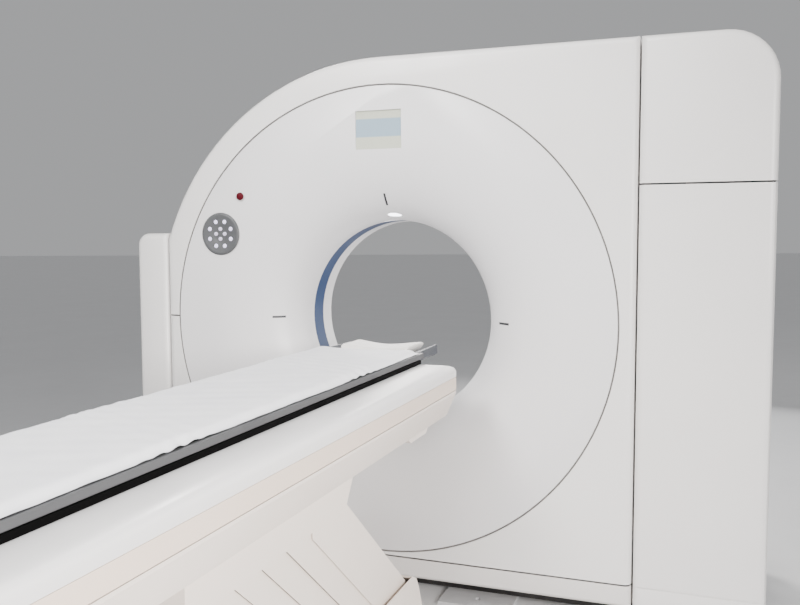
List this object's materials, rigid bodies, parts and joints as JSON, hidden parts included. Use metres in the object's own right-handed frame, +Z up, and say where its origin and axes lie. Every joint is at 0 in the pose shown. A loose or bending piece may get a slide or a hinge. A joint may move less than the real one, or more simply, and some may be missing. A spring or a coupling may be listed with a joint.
{
  "type": "ct scanner",
  "caption": "Whole-body ring scanner: tilting round gantry between stands, spinning source and detector inside, and a lifting patient table with a sliding cradle.",
  "frame": {"origin": "on the floor, straight below the point where the scan plane meets the bore's axis, in the middle of the gantry's anchor holes", "axes": "+Z up, +Y along the bore from the table's side to the back of the gantry, +X towards the cabinet"},
  "size_m": [2.23, 3.334, 1.86],
  "materials": {
    "gantry_shell": "satin off-white cover",
    "front_ring": "satin off-white cover",
    "skirt_grey": "satin light grey cover",
    "floor_paint": "dark powder coat",
    "frame_paint": "grey-blue paint",
    "gear_steel": "machined",
    "seal_rubber": "matt",
    "window_film": "dark blue film",
    "screen_glass": "lit display",
    "panel_grey": "satin",
    "key_plastic": "pale lit plastic",
    "stop_red": "gloss",
    "light_windows": "tinted window",
    "drive_paint": "dark paint",
    "drum_aluminium": "machined",
    "ring_brass": "contact tracks",
    "tube_paint": "grey enamel",
    "detector_metal": "anodised",
    "table_steel": "dark grey paint",
    "actuator_steel": "ground",
    "table_cream": "satin cream cover",
    "glide_black": "matt",
    "cradle_grey": "satin dark grey",
    "pad_cream": "coated fabric"
  },
  "bodies": {
    "base": {"base_frame": "floor_paint", "left_stand": "frame_paint", "right_stand": "frame_paint", "left_stand_cover": "gantry_shell", "cabinet_upper_cover": "gantry_shell", "cabinet_lower_cover": "gantry_shell", "power_unit": "frame_paint", "tilt_gearmotor": "frame_paint", "table_base_frame": "table_steel", "table_base_cover": "table_cream"},
    "gantry": {"tilt_frame": "frame_paint", "arch_cover": "gantry_shell", "lower_left_panel": "gantry_shell", "bottom_skirt": "skirt_grey", "rear_shell": "gantry_shell", "front_cover": "front_ring", "rear_cover": "front_ring", "cover_seal": "seal_rubber", "scan_window": "window_film", "display_screen": "screen_glass", "control_panel": "panel_grey", "bore_lights": "light_windows", "main_bearing_outer": "gear_steel", "brush_block": "drive_paint", "drive_motor": "drive_paint", "drive_belt": "seal_rubber", "tilt_sector": "gear_steel"},
    "rotor": {"main_bearing_inner": "gear_steel", "rotor_drum": "drum_aluminium", "slip_ring": "ring_brass", "xray_tube": "tube_paint", "collimator": "tube_paint", "hv_generator": "tube_paint", "heat_exchanger": "drum_aluminium", "detector_arc": "detector_metal"},
    "drive_pulley": {"motor_pulley": "gear_steel"},
    "pinion": {"tilt_pinion": "gear_steel"},
    "up_key": {"key_up": "key_plastic"},
    "down_key": {"key_down": "key_plastic"},
    "in_key": {"key_in": "key_plastic"},
    "out_key": {"key_out": "key_plastic"},
    "stop": {"stop_button": "stop_red"},
    "front_arm": {"lift_arm_front": "table_steel", "front_shroud": "table_cream"},
    "rear_arm": {"lift_arm_rear": "table_steel", "rear_shroud": "table_cream"},
    "slat_1": {"side_slat_1": "table_cream"},
    "slat_2": {"side_slat_2": "table_cream"},
    "slat_3": {"side_slat_3": "table_cream"},
    "cylinder": {"actuator_cylinder": "actuator_steel"},
    "rod": {"actuator_rod": "actuator_steel"},
    "couch": {"couch_frame": "table_steel", "couch_lower_cover": "table_cream", "couch_side_band": "table_cream", "couch_top_cover": "table_cream", "glide_strips": "glide_black"},
    "cradle": {"cradle": "cradle_grey", "head_holder": "cradle_grey", "head_cushion": "pad_cream", "mattress": "pad_cream"}
  },
  "joints": [
    {"name": "gantry_tilt", "type": "hinge", "parent": "base", "child": "gantry", "pos_m": [0, 0, 0.965], "axis": [-1, 0, 0], "range_deg": [-30, 20]},
    {"name": "pinion_spin", "type": "hinge", "parent": "base", "child": "pinion", "pos_m": [0, 0, 0.701], "axis": [1, 0, 0], "range_deg": [-301, 201]},
    {"name": "rotor_spin", "type": "hinge", "parent": "gantry", "child": "rotor", "pos_m": [0, 0, 0.965], "axis": [0, 1, 0], "continuous": true},
    {"name": "motor_spin", "type": "hinge", "parent": "gantry", "child": "drive_pulley", "pos_m": [0.735, 0, 0.275], "axis": [0, 1, 0], "continuous": true},
    {"name": "press_up", "type": "slide", "parent": "gantry", "child": "up_key", "axis": [0, 1, 0], "range_m": [0, 0.002], "stiffness_N_per_m": 600, "springref_m": -0.0005},
    {"name": "press_down", "type": "slide", "parent": "gantry", "child": "down_key", "axis": [0, 1, 0], "range_m": [0, 0.002], "stiffness_N_per_m": 600, "springref_m": -0.0005},
    {"name": "press_in", "type": "slide", "parent": "gantry", "child": "in_key", "axis": [0, 1, 0], "range_m": [0, 0.002], "stiffness_N_per_m": 600, "springref_m": -0.0005},
    {"name": "press_out", "type": "slide", "parent": "gantry", "child": "out_key", "axis": [0, 1, 0], "range_m": [0, 0.002], "stiffness_N_per_m": 600, "springref_m": -0.0005},
    {"name": "press_stop", "type": "slide", "parent": "gantry", "child": "stop", "axis": [0, 1, 0], "range_m": [0, 0.004], "stiffness_N_per_m": 600, "springref_m": -0.0005},
    {"name": "table_lift", "type": "hinge", "parent": "base", "child": "front_arm", "pos_m": [0, -0.725, 0.196], "axis": [-1, 0, 0], "range_deg": [-35, 4]},
    {"name": "rear_arm_turn", "type": "hinge", "parent": "base", "child": "rear_arm", "pos_m": [0, -1.238, 0.196], "axis": [-1, 0, 0], "range_deg": [-35, 4]},
    {"name": "slat_1_turn", "type": "hinge", "parent": "base", "child": "slat_1", "pos_m": [0, -0.87887, 0.115], "axis": [-1, 0, 0], "range_deg": [-35, 4]},
    {"name": "slat_2_turn", "type": "hinge", "parent": "base", "child": "slat_2", "pos_m": [0, -0.98142, 0.115], "axis": [-1, 0, 0], "range_deg": [-35, 4]},
    {"name": "slat_3_turn", "type": "hinge", "parent": "base", "child": "slat_3", "pos_m": [0, -1.08397, 0.115], "axis": [-1, 0, 0], "range_deg": [-35, 4]},
    {"name": "couch_level", "type": "hinge", "parent": "front_arm", "child": "couch", "pos_m": [0, -1.23059, 0.62024], "axis": [-1, 0, 0], "range_deg": [-4, 35]},
    {"name": "cylinder_turn", "type": "hinge", "parent": "base", "child": "cylinder", "pos_m": [0, -0.765, 0.121], "axis": [-1, 0, 0], "range_deg": [-33.5, 4.5]},
    {"name": "rod_slide", "type": "slide", "parent": "cylinder", "child": "rod", "axis": [0, -0.53, 0.848], "range_m": [-0.0505, 0.0065]},
    {"name": "cradle_slide", "type": "slide", "parent": "couch", "child": "cradle", "axis": [0, 1, 0], "range_m": [-0.03, 1.6]}
  ],
  "couplings": [
    {"joint": "pinion_spin", "follows": "gantry_tilt", "ratio": 10},
    {"joint": "motor_spin", "follows": "rotor_spin", "ratio": 15},
    {"joint": "rear_arm_turn", "follows": "table_lift", "ratio": 1},
    {"joint": "slat_1_turn", "follows": "table_lift", "ratio": 1},
    {"joint": "slat_2_turn", "follows": "table_lift", "ratio": 1},
    {"joint": "slat_3_turn", "follows": "table_lift", "ratio": 1},
    {"joint": "couch_level", "follows": "table_lift", "ratio": -1},
    {"joint": "cylinder_turn", "follows": "table_lift", "ratio": 0.93663},
    {"joint": "rod_slide", "follows": "table_lift", "m_per_rad": 0.081376}
  ]
}
